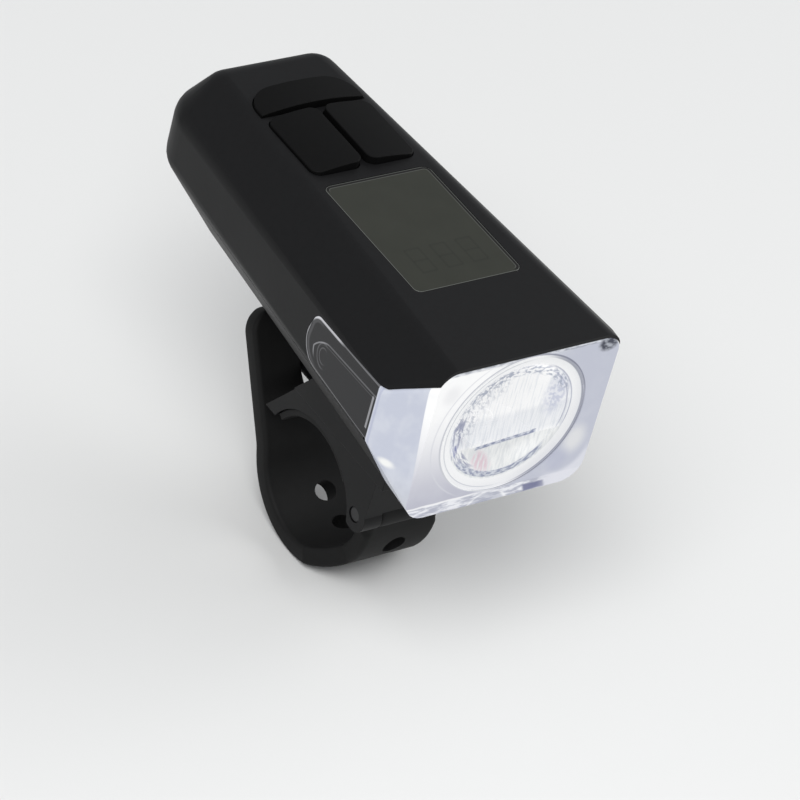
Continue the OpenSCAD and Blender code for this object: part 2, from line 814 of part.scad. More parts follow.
// Button cap with its keeping flange, crowned across the lamp
module key(index) {
    translate([0, 0, flange_low]) linear_extrude(flange_top - flange_low)
        key_outline(index, key_flange - key_gap);
    intersection() {
        translate([0, 0, flange_low]) linear_extrude(2*wall + key_proud) key_outline(index, -key_gap);
        bar_y(key_crown_r, 0, far, 0, top_z + key_proud - key_crown_r);
    }
}

module left_button() { color("#0f0f10") key(0); }
module right_button() { color("#0f0f10") key(1); }
module mode_button() { color("#0f0f10") key(2); }

module battery_cell() {
    color("#3a6ea5") {
        bar_y(cell_d/2, cell_y1, cell_y2 - 1.2, 0, cell_z);
        bar_y(2.6, cell_y2 - 1.4, cell_y2, 0, cell_z);
    }
}

module cell_cradle() {
    y1 = cell_y1 - contact_t - 2*rest_gap - cradle_end;
    y2 = cell_y2 + contact_t + 2*rest_gap + cradle_end;
    color("#26282b") difference() {
        translate([-cradle_w/2, y1, cradle_z]) cube([cradle_w, y2 - y1, cradle_wall_h]);
        bar_y(cell_d/2 + rest_gap, y1 + cradle_end, y2 - cradle_end, 0, cell_z);
    }
}

module cell_contacts() {
    for (y = [cell_y1 - rest_gap - contact_t, cell_y2 + rest_gap])
        color("#c9c4b4") translate([-contact_w/2, y, cell_z - contact_h/2])
            cube([contact_w, contact_t, contact_h]);
}

module charge_port() {
    shell_t = 0.5;
    color("#b8bcc0") difference() {
        translate([-port_w/2, port_y1, port_z - port_h/2]) cube([port_w, recess_y - rest_gap - port_y1, port_h]);
        translate([-port_w/2 + shell_t, port_y1 + 1.5, port_z - port_h/2 + shell_t])
            cube([port_w - 2*shell_t, far, port_h - 2*shell_t]);
    }
    color("#202224") translate([-port_w/2 + 2*shell_t, port_y1 + 1, port_z - 0.35])
        cube([port_w - 4*shell_t, 4, 0.7]);
}

module port_board() {
    color("#1f5a36") translate([-port_board_w/2, port_y1, port_z - port_h/2 - rest_gap - port_board_t])
        cube([port_board_w, rear_y - wall - 0.1 - port_y1, port_board_t]);
}

module port_cover() {
    color("#111112") {
        translate([-cover_w/2, cover_y, cover_hinge_z]) cube([cover_w, cover_t, cover_h]);
        bar_x(cover_bead_r, cover_w, cover_hinge_y, cover_hinge_z);
        translate([-grip_w/2, cover_y + cover_t - fuse, cover_hinge_z + cover_h - 1.6*grip_h])
            cube([grip_w, fuse + grip_out, grip_h]);
        translate([-port_w/2 + 1.3, cover_y - 1, port_z + 0.6]) cube([port_w - 2.6, 1 + fuse, 0.4]);
    }
}

module swivel_shoe() {
    lean = rear_lean*(shoe_top - shoe_z);
    color("#161719") difference() {
        union() {
            across(shoe_w) polygon([[-shoe_front, shoe_z], [shoe_rear + lean, shoe_z],
                [shoe_rear, shoe_top], [-shoe_front, shoe_top]]);
            translate([0, swivel_y, shoe_z - hub_deep]) cylinder(r = hub_r, h = hub_deep + fuse);
        }
        translate([-rail_w/2 - rail_gap, -far, channel_z])
            cube([rail_w + 2*rail_gap, far + rail_y2 + rail_gap, rail_h + 2*rail_gap]);
        translate([-neck_w/2 - rail_gap, -far, channel_z])
            cube([neck_w + 2*rail_gap, far + rail_y2 + rail_gap, far]);
        translate([0, swivel_y, channel_z - head_recess]) cylinder(r = swivel_head_r + 0.2, h = far);
        translate([0, swivel_y, 0]) cylinder(r = swivel_screw_r + 0.15, h = far);
        translate([-tongue_w/2 - 0.25, -far, shoe_z - 1])
            cube([tongue_w + 0.5, far + tongue_hinge_y, channel_z - shoe_z + 2]);
        bar_x(tongue_root_r + 0.08, tongue_w + 0.5, tongue_hinge_y, tongue_z + tongue_t/2);
    }
}

module release_tongue() {
    color("#1b1c1e") {
        bar_x(tongue_root_r, tongue_w, tongue_hinge_y, tongue_z + tongue_t/2);
        translate([-tongue_w/2, -shoe_front - tongue_out, tongue_z])
            cube([tongue_w, shoe_front + tongue_out + tongue_hinge_y, tongue_t]);
        across(tongue_w) polygon([[-shoe_front, tongue_z], [-shoe_front, rail_z + tooth_h],
            [-shoe_front + 0.5, rail_z + tooth_h], [-shoe_front + tooth_len, tongue_z + tongue_t],
            [-shoe_front + tooth_len, tongue_z]]);
        for (i = [0:2])
            bar_x(0.4, tongue_w, -shoe_front - tongue_out + 1 + 1.4*i, tongue_z + tongue_t);
    }
}

module swivel_screw() {
    head_z = channel_z - head_recess + washer_t + 0.1;
    color("#a9aeb4") translate([0, swivel_y, 0]) difference() {
        union() {
            translate([0, 0, head_z]) cylinder(r = swivel_head_r, h = head_h);
            translate([0, 0, nut_z]) cylinder(r = swivel_screw_r, h = head_z + fuse - nut_z);
        }
        translate([0, 0, head_z + head_h - 1.2]) cylinder(r = 1.6, h = 2, $fn = 6);
    }
}

module swivel_washer() {
    color("#c4c8cc") translate([0, swivel_y, channel_z - head_recess + rest_gap]) difference() {
        cylinder(r = swivel_head_r, h = washer_t);
        translate([0, 0, -1]) cylinder(r = swivel_screw_r + 0.05, h = washer_t + 2);
    }
}

module swivel_nut() {
    color("#b4b8bc") translate([0, swivel_y, nut_z]) difference() {
        cylinder(r = nut_flats/sqrt(3), h = nut_h, $fn = 6);
        translate([0, 0, -1]) cylinder(r = swivel_screw_r + 0.05, h = nut_h + 2);
    }
}

module bracket_saddle() {
    lean = rear_lean*(saddle_top - peg_h + peg_r + 1);
    foot_y = shoe_rear + rear_lean*(shoe_top - shoe_z) + lean;
    foot_z = peg_h - peg_r - 1;
    color("#18191b") difference() {
        union() {
            across(clamp_w) {
                polygon([[pin_y - eye_r + 0.4, pin_h], [-shoe_front + 3, saddle_top],
                    [foot_y - lean, saddle_top], [foot_y, foot_z], [0, foot_z], [0, pin_h]]);
                translate([pin_y, pin_h]) circle(eye_r);
            }
            bar_y(peg_r, 0, peg_reach, 0, peg_h);
            bar_y(peg_r + 0.7, 0, foot_y + rest_gap, 0, peg_h);
        }
        bar_x(saddle_r, 2*far);
        bar_x(eye_r + 0.2, eye_w + 0.4, pin_y, pin_h);
        translate([-eye_w/2 - 0.2, pin_y - eye_r - 1, pin_h - far]) cube([eye_w + 0.4, 2*eye_r + 2, far]);
        bar_x(pin_r + rest_gap, 2*far, pin_y, pin_h);
        translate([0, swivel_y, saddle_top - hub_deep + 0.05]) cylinder(r = hub_r + hub_gap, h = far);
        swivel_bores();
    }
}

// Screw clearance and nut pocket under the swivel
module swivel_bores() {
    translate([0, swivel_y, 0]) {
        cylinder(r = swivel_screw_r + 0.1, h = far);
        cylinder(r = nut_flats/sqrt(3) + 0.1, h = nut_z + nut_h + rest_gap, $fn = 6);
    }
}

// Sector of a ring about the clamp axis, from angle a1 to a2, measured from +Y towards +Z
module ring_sector(r1, r2, w, a1, a2) {
    translate([w/2, 0, 0]) rotate([90, 0, 90]) translate([0, 0, -w])
        rotate([0, 0, a1]) rotate_extrude(angle = a2 - a1, $fn = 96)
            translate([r1, 0]) square([r2 - r1, w]);
}

module saddle_pad() {
    color("#0d0d0e") ring_sector(bar_r, pad_r, clamp_w - 1, pad_a1, pad_a2);
}

module strap_pin() {
    color("#141416") bar_x(pin_r, clamp_w - 0.4, pin_y, pin_h);
}

module strap_band() {
    end_a = 360 + tab_angle - 2;
    neck_w = eye_w + 0.6;
    color("#121213") difference() {
        union() {
            ring_sector(bar_r, strap_r, clamp_w, 180, end_a);
            across(eye_w) {
                translate([pin_y, pin_h]) circle(eye_r);
                translate([-strap_r, -fuse]) square([strap_t, pin_h + fuse]);
            }
        }
        bar_x(pin_r + rest_gap, 2*far, pin_y, pin_h);
        bar_x(bar_r, 2*far);
        bar_x(tab_root_r + 0.1, 2*far, tab_y, tab_z);
        for (i = [0:3])
            rotate([200 + strap_hole_step*i, 0, 0]) bar_y(strap_hole_r, bar_r - 2, strap_r + 2);
        for (s = [-1, 1])
            rotate([taper_start + 90, 0, 0]) translate([0, 0, -far]) linear_extrude(far)
                polygon([[s*neck_w/2, -far], [s*neck_w/2, 0], [s*(clamp_w - neck_w/2), 2*taper_len],
                    [s*far, 2*taper_len], [s*far, -far]]);
        for (a = [0:10:tab_swing])
            translate([0, tab_y, tab_z]) rotate([90 - tab_lean - a, 0, 0])
                translate([-far, 0, -tab_root_r - 0.1]) cube([2*far, tab_len, 2*tab_root_r + 0.2]);
    }
}

module strap_tab() {
    color("#101011") difference() {
        union() {
            bar_x(tab_root_r, clamp_w, tab_y, tab_z);
            translate([0, tab_y, tab_z]) rotate([90 - tab_lean, 0, 0])
                translate([0, 0, -tab_root_r]) linear_extrude(2*tab_root_r) {
                    translate([-clamp_w/2, 0]) square([clamp_w, tab_len - tab_corner_r]);
                    translate([0, tab_len/2]) rounded_rect(clamp_w, tab_len, tab_corner_r);
                }
        }
        translate([0, 0, peg_h]) rotate([-90, 0, 0]) linear_extrude(far)
            rounded_rect(2*peg_r + 1, 2*peg_r + 6, peg_r);
        translate([0, tab_y, tab_z]) rotate([90 - tab_lean, 0, 0])
            for (i = [0:2]) translate([0, tab_len - 3.2 - 2*i, -tab_root_r]) bar_x(0.4, clamp_w - 6);
    }
}

upper_shell();
lower_shell();
shell_seal();
shell_screws();
front_lens();
lens_seal();
lens_bezel();
light_ring();
reflector();
led_board();
led_emitter();
heat_sink();
display_window();
display_panel();
display_frame();
main_board();
key_switches();
mode_button();
left_button();
right_button();
battery_cell();
cell_cradle();
cell_contacts();
charge_port();
port_board();
port_cover();
swivel_shoe();
release_tongue();
swivel_screw();
swivel_washer();
swivel_nut();
bracket_saddle();
saddle_pad();
strap_pin();
strap_band();
strap_tab();
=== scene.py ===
import json
import math
import bmesh
import bpy
import numpy as np
from mathutils import Matrix, Vector


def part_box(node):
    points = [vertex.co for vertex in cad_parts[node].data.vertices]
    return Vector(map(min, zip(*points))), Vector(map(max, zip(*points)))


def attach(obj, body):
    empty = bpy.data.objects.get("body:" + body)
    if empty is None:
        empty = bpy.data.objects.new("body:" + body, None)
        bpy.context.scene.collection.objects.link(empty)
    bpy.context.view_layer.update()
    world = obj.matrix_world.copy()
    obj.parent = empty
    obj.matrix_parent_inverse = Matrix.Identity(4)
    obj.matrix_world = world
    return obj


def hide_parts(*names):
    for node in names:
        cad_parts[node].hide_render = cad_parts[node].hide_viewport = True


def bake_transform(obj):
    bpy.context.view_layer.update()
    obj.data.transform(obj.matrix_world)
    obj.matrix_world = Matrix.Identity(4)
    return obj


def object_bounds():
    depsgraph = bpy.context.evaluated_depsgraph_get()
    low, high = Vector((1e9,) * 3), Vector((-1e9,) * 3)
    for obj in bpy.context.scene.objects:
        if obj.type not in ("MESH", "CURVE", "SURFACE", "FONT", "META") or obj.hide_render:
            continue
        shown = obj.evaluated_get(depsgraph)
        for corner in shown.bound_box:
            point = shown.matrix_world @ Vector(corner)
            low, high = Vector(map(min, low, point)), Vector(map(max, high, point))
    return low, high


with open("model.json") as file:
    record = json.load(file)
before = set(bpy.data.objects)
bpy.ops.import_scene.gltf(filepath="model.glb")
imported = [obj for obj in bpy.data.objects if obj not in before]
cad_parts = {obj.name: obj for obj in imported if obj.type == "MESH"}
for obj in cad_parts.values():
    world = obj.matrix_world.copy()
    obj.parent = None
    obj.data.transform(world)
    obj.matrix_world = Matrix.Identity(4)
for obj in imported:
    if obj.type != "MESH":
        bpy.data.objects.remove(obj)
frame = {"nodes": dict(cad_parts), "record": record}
cadLow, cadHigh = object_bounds()
nodes = frame["nodes"]
print("stage: frame loaded,", len(nodes), "nodes")

# All sizes below are in millimetres in the part's frame
mm = 0.001


def boxOf(name):
    # Lowest and highest corner of a CAD node at rest
    low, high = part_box(name)
    return np.array(low) / mm, np.array(high) / mm


class Sock:
    # One shader socket, with the math operators written as nodes
    def __init__(self, tree, socket):
        self.tree = tree
        self.socket = socket

    def node(self, kind, inputs=(), output=0, **settings):
        made = self.tree.nodes.new(kind)
        for key, value in settings.items():
            setattr(made, key, value)
        for key, value in dict(inputs).items():
            if isinstance(value, Sock):
                self.tree.links.new(value.socket, made.inputs[key])
            else:
                made.inputs[key].default_value = value
        return Sock(self.tree, made.outputs[output])

    def math(self, operation, *values):
        return self.node("ShaderNodeMath", enumerate(values), operation=operation)

    def __add__(self, other):
        return self.math("ADD", self, other)

    def __radd__(self, other):
        return self.math("ADD", other, self)

    def __sub__(self, other):
        return self.math("SUBTRACT", self, other)

    def __rsub__(self, other):
        return self.math("SUBTRACT", other, self)

    def __mul__(self, other):
        return self.math("MULTIPLY", self, other)

    def __rmul__(self, other):
        return self.math("MULTIPLY", other, self)

    def __truediv__(self, other):
        return self.math("DIVIDE", self, other)

    def __rtruediv__(self, other):
        return self.math("DIVIDE", other, self)

    def __gt__(self, other):
        return self.math("GREATER_THAN", self, other)

    def __lt__(self, other):
        return self.math("LESS_THAN", self, other)

    def __abs__(self):
        return self.math("ABSOLUTE", self)


def newMaterial(name):
    # A material with one Principled shader, and its tree
    material = bpy.data.materials.new(name)
    material.use_nodes = True
    tree = material.node_tree
    shader = tree.nodes["Principled BSDF"]
    return material, Sock(tree, None), shader


def setPlain(shader, **values):
    # Sets the inputs that are the same all over the surface
    for key, value in values.items():
        shader.inputs[key.replace("_", " ")].default_value = value


def feed(tree, source, shader, name):
    # Links a socket to one of the shader's inputs
    tree.links.new(source.socket, shader.inputs[name])


def objectCoords(root):
    # Object coordinates as three sockets, in millimetres
    coords = root.node("ShaderNodeTexCoord", output=3)
    split = root.tree.nodes.new("ShaderNodeSeparateXYZ")
    root.tree.links.new(coords.socket, split.inputs[0])
    x, y, z = (Sock(root.tree, out) * 1000.0 for out in split.outputs)
    return coords, x, y, z


def noise(root, coords, scale, detail=2.0):
    # Noise with about scale blotches to one unit of the coordinates
    return root.node("ShaderNodeTexNoise", {"Vector": coords, "Scale": scale, "Detail": detail})


def grain2(root, a, b, detail=1.0):
    # Noise over two stretched coordinates, one unit to a blotch
    place = root.node("ShaderNodeCombineXYZ", {0: a, 1: b, 2: 0.0})
    return noise(root, place, 1.0, detail)


def ramp(value, low, high):
    # Smooth step from 0 at low to 1 at high, or falling where high is below low
    if low > high:
        return 1.0 - ramp(value, high, low)
    return value.node("ShaderNodeMapRange", {0: value, 1: low, 2: high}, interpolation_type="SMOOTHSTEP")


def band(value, low, high, soft=0.1):
    # One between low and high, with soft borders
    return ramp(value, low - soft, low + soft) * ramp(value, high + soft, high - soft)


def length2(a, b):
    # Square root of a squared plus b squared
    total = a * a + b * b
    return total.math("SQRT", total)


def mixColour(root, factor, dark, light):
    # Blend of two colours: dark at factor 0, light at factor 1
    ends = [end if isinstance(end, Sock) else (*end, 1) for end in (dark, light)]
    return root.node("ShaderNodeMix", {0: factor, 6: ends[0], 7: ends[1]}, output=2, data_type="RGBA")


def grained(name, dark, light, roughness, grain=900.0, bump=0.08, metallic=0.0, specular=0.5):
    # Plain material with a fine mottle in its colour and a fine bump
    material, root, shader = newMaterial(name)
    coords, x, y, z = objectCoords(root)
    mottle = noise(root, coords, grain)
    feed(root.tree, mixColour(root, mottle, dark, light), shader, "Base Color")
    rough = roughness + (noise(root, coords, 60.0) - 0.5) * 0.12
    feed(root.tree, rough, shader, "Roughness")
    relief = root.node("ShaderNodeBump", {"Height": mottle, "Strength": bump, "Distance": 0.0001})
    feed(root.tree, relief, shader, "Normal")
    setPlain(shader, Metallic=metallic, Specular_IOR_Level=specular)
    return material


housing = grained("housingBlack", (0.004, 0.004, 0.0044), (0.006, 0.006, 0.0064), 0.5, specular=0.17)
rubber = grained("sealRubber", (0.006, 0.006, 0.006), (0.01, 0.01, 0.01), 0.7, specular=0.2)
strapDark, strapLight = (0.0045, 0.0045, 0.0045), (0.0075, 0.0075, 0.0075)
strapRubber = grained("strapRubber", strapDark, strapLight, 0.62, 500.0, specular=0.18)
buttonRubber = grained("buttonRubber", (0.0015, 0.0015, 0.0015), (0.0028, 0.0028, 0.0028), 0.6, specular=0.1)
pinDark, pinLight = (0.012, 0.012, 0.013), (0.018, 0.018, 0.019)
blackSteel = grained("blackSteel", pinDark, pinLight, 0.4, 400.0, 0.03, specular=0.3)
steel = grained("steel", (0.36, 0.37, 0.38), (0.46, 0.47, 0.48), 0.3, 400.0, 0.03, 1.0)
white = grained("whitePlastic", (0.62, 0.64, 0.66), (0.68, 0.7, 0.72), 0.4, 300.0, 0.02)
aluminium = grained("aluminium", (0.4, 0.42, 0.44), (0.5, 0.52, 0.54), 0.4, 400.0, 0.05, 1.0)
boardGreen = grained("boardGreen", (0.01, 0.08, 0.03), (0.015, 0.11, 0.045), 0.4)
innerBlack = grained("innerBlack", (0.016, 0.017, 0.018), (0.022, 0.023, 0.025), 0.55)
cellBlue = grained("cellBlue", (0.03, 0.13, 0.32), (0.045, 0.17, 0.4), 0.35)

# Places of the optics, from the CAD boxes
lensLow, lensHigh = boxOf("front_lens")
ringLow, ringHigh = boxOf("light_ring")
mouthY = boxOf("reflector")[0][1]
faceY = lensLow[1]
beamZ = (ringLow[2] + ringHigh[2]) / 2
bowl = {
    "mouth": 12.3,
    "deep": 12.6,
    "wall": 1.2,
    "lip": 12.75,
    "flange": 13.2,
    "flangeBack": 12.6,
    "flangeThick": 1.0,
    "backMouth": 12.0,
    "flutes": 11,
    "fluteDeep": 0.5,
}
# The slant is the photo's line of sight: how far it runs right and down for each millimetre of depth
optics = {
    "slantX": 0.928,
    "slantZ": 1.045,
    "openX": -0.8,
    "openZ": 1.0,
    "openIn": 12.95,
    "openOut": 13.1,
    "haloX": -0.4,
    "haloZ": 0.4,
    "haloIn": 15.2,
    "haloOut": 15.55,
    "opening": 12.75,
    "shoulderY": -28.0,
}


def litShader(root, shader, colour, bodyShare=0.42, glow=0.5):
    # A lit surface: part of its colour is its body, the rest is its glow
    feed(root.tree, mixColour(root, bodyShare, (0.0, 0.0, 0.0), colour), shader, "Base Color")
    feed(root.tree, colour, shader, "Emission Color")
    setPlain(shader, Emission_Strength=glow)


def paintedBeamLight(root, x, y, z):
    # Painted light, shade and reflections inside the opening: streaks, specks and shades. The pattern is laid
    # on the lens face and carried into the bowl along the photo's line of sight, so the bowl, the shelf and
    # the rim share it.
    # Also gives the distance from the middle of the opening.
    deep = y - faceY
    a = x - optics["slantX"] * deep
    b = z - beamZ + optics["slantZ"] * deep
    reach = length2(a - optics["openX"], b - optics["openZ"])
    around = a.math("ARCTAN2", b - optics["openZ"], a - optics["openX"]) * 12.0
    # Noise for the painted reflections below: streaks, flecks and specks
    reflectionStreaks = grain2(root, a * 2.6, b * 0.16, 3.0)
    fine = grain2(root, a * 1.6, b * 0.3, 2.0)
    reflectionFlecks = grain2(root, a * 1.5 + b * 0.6, b * 1.1, 3.0)
    rimReflectionSpecks = grain2(root, reach * 2.1, around * 0.85, 4.0)
    longReflectionSpecks = grain2(root, reach * 2.4, around * 0.32, 3.0)
    # Upper half: painted light, white with faint upright streaks of painted reflection, greyer with painted
    # shade over the shelf
    colour = mixColour(root, ramp(reflectionStreaks, 0.32, 0.52), (0.84, 0.86, 0.89), (1.0, 1.0, 1.0))
    shelfShade = mixColour(root, ramp(reflectionStreaks, 0.32, 0.6), (0.75, 0.775, 0.815), (0.89, 0.9, 0.92))
    colour = mixColour(root, band(b, -2.9, 3.0, 0.9), colour, shelfShade)
    # Lower half: even, dimmer painted light, with a small pink patch of painted reflection to the left
    lowTone = mixColour(root, ramp(fine, 0.36, 0.6), (0.77, 0.79, 0.8), (0.89, 0.9, 0.895))
    colour = mixColour(root, ramp(b, -3.1, -3.6), colour, lowTone)
    pinkReflection = ramp(length2((a + 5.2) * 0.6 + (b + 7.4) * 0.3, (b + 7.4) * 0.4), 1.6, 0.6)
    colour = mixColour(root, pinkReflection * ramp(fine, 0.38, 0.56) * 0.85, colour, (0.72, 0.55, 0.62))
    # Painted reflections: grey flecks to the upper left, a bluish patch and two rim lines to the right
    upperLeft = band(reach, 8.3, 12.8, 1.2) * ramp(a, -2.0, -5.0) * ramp(b, -2.0, 1.0)
    colour = mixColour(root, upperLeft * ramp(reflectionFlecks, 0.48, 0.6) * 0.6, colour, (0.42, 0.45, 0.53))
    bluishReflection = ramp(length2((a - 8.2) * 0.62, (b - 5.4) * 0.34), 2.3, 0.6)
    colour = mixColour(root, bluishReflection * (0.35 + 0.5 * ramp(reflectionFlecks, 0.42, 0.58)), colour, (0.55, 0.58, 0.71))
    edge = band(reach, 11.8, 12.05, 0.12) + band(reach, 12.75, 13.0, 0.12)
    edge = edge * ramp(a, 4.0, 7.0) * ramp(b, -4.5, -1.0)
    colour = mixColour(root, edge * 0.75, colour, (0.34, 0.36, 0.48))
    # Dark specks of painted reflection round the rim
    topRim = band(reach, 10.8, 12.6, 0.4) * ramp(b, 4.0, 8.0) * ramp(rimReflectionSpecks, 0.46, 0.58)
    colour = mixColour(root, topRim * 0.8, colour, (0.3, 0.34, 0.45))
    leftRim = band(reach, 10.4, 12.7, 0.4) * ramp(a, -6.0, -8.5) * band(b, -9.0, 4.5, 1.2)
    colour = mixColour(root, leftRim * ramp(longReflectionSpecks, 0.47, 0.57) * 0.8, colour, (0.26, 0.28, 0.41))
    # A dark blue painted reflection to the left, and a greyer arc of painted reflection low round the rim
    blueReflectionBlot = ramp(length2((a + 12.0) * 1.3, (b + 3.2) * 0.45), 1.0, 0.5) * ramp(longReflectionSpecks, 0.38, 0.5)
    colour = mixColour(root, blueReflectionBlot * 0.9, colour, (0.17, 0.19, 0.38))
    arc = band(reach, 11.35, 12.65, 0.15) * ramp(b, -5.0, -7.0) * ramp(a, 8.7, 7.6)
    arcShade = mixColour(root, ramp(rimReflectionSpecks, 0.4, 0.6), (0.27, 0.3, 0.42), (0.64, 0.67, 0.73))
    colour = mixColour(root, arc * 0.92, colour, arcShade)
    # Dark line of painted shade along the shelf's front edge
    shelfShadeDashes = ramp(grain2(root, a * 0.9, b * 1.3, 2.0), 0.4, 0.6)
    dashShade = mixColour(root, shelfShadeDashes, (0.24, 0.27, 0.4), (0.62, 0.65, 0.73))
    # Deep in the bowl, where the slant leaves the opening: plain, with painted shade that darkens with depth
    # and the flutes' painted shade in the upper half
    wave = x * (math.pi * bowl["flutes"] / bowl["mouth"]) + math.pi * bowl["flutes"]
    flute = (0.5 - 0.5 * wave.math("COSINE", wave)) * ramp(z, beamZ, beamZ + 2.0)
    deepShade = mixColour(root, ramp(deep, 3.0, 15.0), (0.96, 0.965, 0.97), (0.8, 0.82, 0.86))
    deepShade = mixColour(root, flute * 0.45, deepShade, (0.56, 0.59, 0.67))
    colour = mixColour(root, ramp(reach, 13.0, 13.5), colour, deepShade)
    # The painted shade line along the shelf's front edge
    shelfShadeLine = band(b + 3.4 - 0.075 * (a + 0.9), -0.45, 0.45, 0.12) * band(a, -7.2, 5.9, 0.2)
    return mixColour(root, shelfShadeLine * 0.95, colour, dashShade), reach


# The reflector, the board and the emitter glow with the painted light and reflections of the lit bowl
reflectorLit, root, shader = newMaterial("reflectorLit")
coords, x, y, z = objectCoords(root)
litShader(root, shader, paintedBeamLight(root, x, y, z)[0], 0.2, 0.72)
setPlain(shader, Roughness=0.3, Specular_IOR_Level=0.3)

# The ring and the bezel carry the painted light and reflections inside the opening and are white round it
ringLit, root, shader = newMaterial("ringLit")
coords, x, y, z = objectCoords(root)
ringTone = mixColour(root, noise(root, coords, 300.0), (0.9, 0.905, 0.915), (0.97, 0.97, 0.975))
openTone, openReach = paintedBeamLight(root, x, y, z)
ringTone = mixColour(root, ramp(openReach, optics["openIn"], optics["openOut"]), openTone, ringTone)
litShader(root, shader, ringTone, 0.2, 0.72)
setPlain(shader, Roughness=0.35, Specular_IOR_Level=0.3)

# Clear lens cup, lit through: painted light, shade and reflections on face, ring lines, facets and strips by
# their place
lensClear, root, shader = newMaterial("clearLens")
coords, x, y, z = objectCoords(root)
u = x
v = z - beamZ
radius = length2(u, v)
# Face in painted light: white high on the left, grey lower down, bluish grey to the right, a painted glow low
# on the right with a spot of painted shade below it, and a soft grey spot high on the left
cloud = grain2(root, u * 0.2, v * 0.2, 2.0)
leftShade = mixColour(root, ramp(v, -17.0, 9.0), (0.5, 0.505, 0.59), (1.0, 1.0, 1.0))
faceShade = mixColour(root, ramp(u, -11.0, 10.0), leftShade, (0.54, 0.56, 0.65))
glowSpot = ramp(length2(u - 15.6, (v + 7.4) * 0.75), 3.6, 0.8)
faceShade = mixColour(root, glowSpot * 0.7, faceShade, (0.84, 0.84, 0.83))
shadeSpot = ramp(length2(u - 12.8, (v + 11.6) * 0.9), 3.4, 1.2)
faceShade = mixColour(root, shadeSpot * 0.5, faceShade, (0.45, 0.47, 0.6))
greySpot = ramp(length2((u + 16.4) * 0.6, (v - 10.8) * 0.5), 1.6, 0.4)
faceShade = mixColour(root, greySpot * 0.35, faceShade, (0.72, 0.72, 0.75))
faceShade = mixColour(root, ramp(cloud, 0.45, 0.75) * 0.15, faceShade, (0.74, 0.75, 0.8))
# Strip along the top edge in painted shade, and the dark corner of painted shade beside it
speckle = grain2(root, u * 0.6, v * 2.0, 3.0)
topShade = mixColour(root, ramp(speckle, 0.36, 0.6), (0.28, 0.3, 0.35), (0.72, 0.74, 0.79))
faceShade = mixColour(root, ramp(v, 14.9, 15.5) * 0.85, faceShade, topShade)
swirl = grain2(root, u * 0.8 + v * 0.5, v * 0.9, 3.0)
corner = ramp(length2((u - 16.9) * 0.8, v - 14.5), 2.2, 1.1)
cornerShade = mixColour(root, ramp(swirl, 0.4, 0.64), (0.05, 0.055, 0.08), (0.4, 0.42, 0.47))
faceShade = mixColour(root, corner, faceShade, cornerShade)
# Strip along the lower edge in painted light and shade: streaks, an arch in the middle, a dark patch and a
# pale corner to the right
drift = (grain2(root, u * 0.3, v * 0.3, 2.0) - 0.5) * 1.2
lowStreaks = grain2(root, u * 0.28, v * 1.1 + drift * 0.6, 3.0)
lowShade = mixColour(root, ramp(lowStreaks, 0.4, 0.6), (0.46, 0.475, 0.56), (0.86, 0.87, 0.91))
arch = length2(u + 1.2, v + 20.0) + drift * 0.5
lowShade = mixColour(root, ramp(arch, 4.7, 4.1) * 0.55, lowShade, (0.4, 0.42, 0.51))
lowShade = mixColour(root, band(arch, 4.5, 4.9, 0.25) * 0.6, lowShade, (0.93, 0.935, 0.95))
lowShade = mixColour(root, ramp(u, 9.0, 13.0), lowShade, (0.66, 0.67, 0.75))
darkPatch = band(u + v * 0.4, 0.0, 4.7, 0.4) * band(v + drift * 0.3, -17.6, -16.0, 0.3)
lowShade = mixColour(root, darkPatch * 0.95, lowShade, (0.17, 0.18, 0.31))
faceShade = mixColour(root, ramp(v + drift * 0.3, -14.8, -15.3), faceShade, lowShade)
# A painted highlight along the top of the strip on the left, and a pale painted glow in the corner to the
# right
lowEdgeHighlight = band(v + drift * 0.4, -15.3, -14.85, 0.15) * ramp(u, -2.0, -6.0)
faceShade = mixColour(root, lowEdgeHighlight * 0.8, faceShade, (0.95, 0.95, 0.96))
cornerGlow = ramp(length2(u - 13.6, v + 9.4), 4.6, 6.2) * ramp(u, 9.5, 13.5) * ramp(v, -8.5, -12.0)
faceShade = mixColour(root, cornerGlow * 0.6, faceShade, (0.84, 0.845, 0.9))
# Ring lines round the opening, with painted shade that darkens them towards the right
ringShade = mixColour(root, ramp(u, -8.0, 9.0), (0.6, 0.615, 0.66), (0.24, 0.25, 0.32))
haloU, haloV = u - optics["haloX"], v - optics["haloZ"]
haloRadius = length2(haloU, haloV)
halo = band(haloRadius, optics["haloIn"], optics["haloOut"], 0.06)
faceShade = mixColour(root, halo, faceShade, ringShade)
outerArc = band(length2(u + 1.0, v - 0.4), 16.5, 16.8, 0.12) * ramp(u, -7.0, -12.0)
faceShade = mixColour(root, outerArc * 0.6, faceShade, (0.68, 0.69, 0.74))
inside = ramp(haloRadius, optics["haloIn"], optics["haloIn"] - 0.1)
deep = y - faceY
seenRadius = length2(haloU - optics["slantX"] * deep, haloV + optics["slantZ"] * deep)
# Inside the ring: white, with a broad band of painted shade on the right and a thin grey line on the left
rightShadeBand = ramp(u, 2.0, 9.0) * ramp(seenRadius, 14.65, 14.9)
ringBand = mixColour(root, rightShadeBand, (0.95, 0.955, 0.96), (0.42, 0.435, 0.5))
secondLine = band(seenRadius, 14.3, 14.5, 0.06) * ramp(u, 3.0, -3.0)
ringBand = mixColour(root, secondLine * 0.8, ringBand, (0.62, 0.64, 0.69))
openTone, openReach = paintedBeamLight(root, x, y, z)
ringBand = mixColour(root, ramp(openReach, optics["openIn"], optics["openOut"]), openTone, ringBand)
faceShade = mixColour(root, inside, faceShade, ringBand)
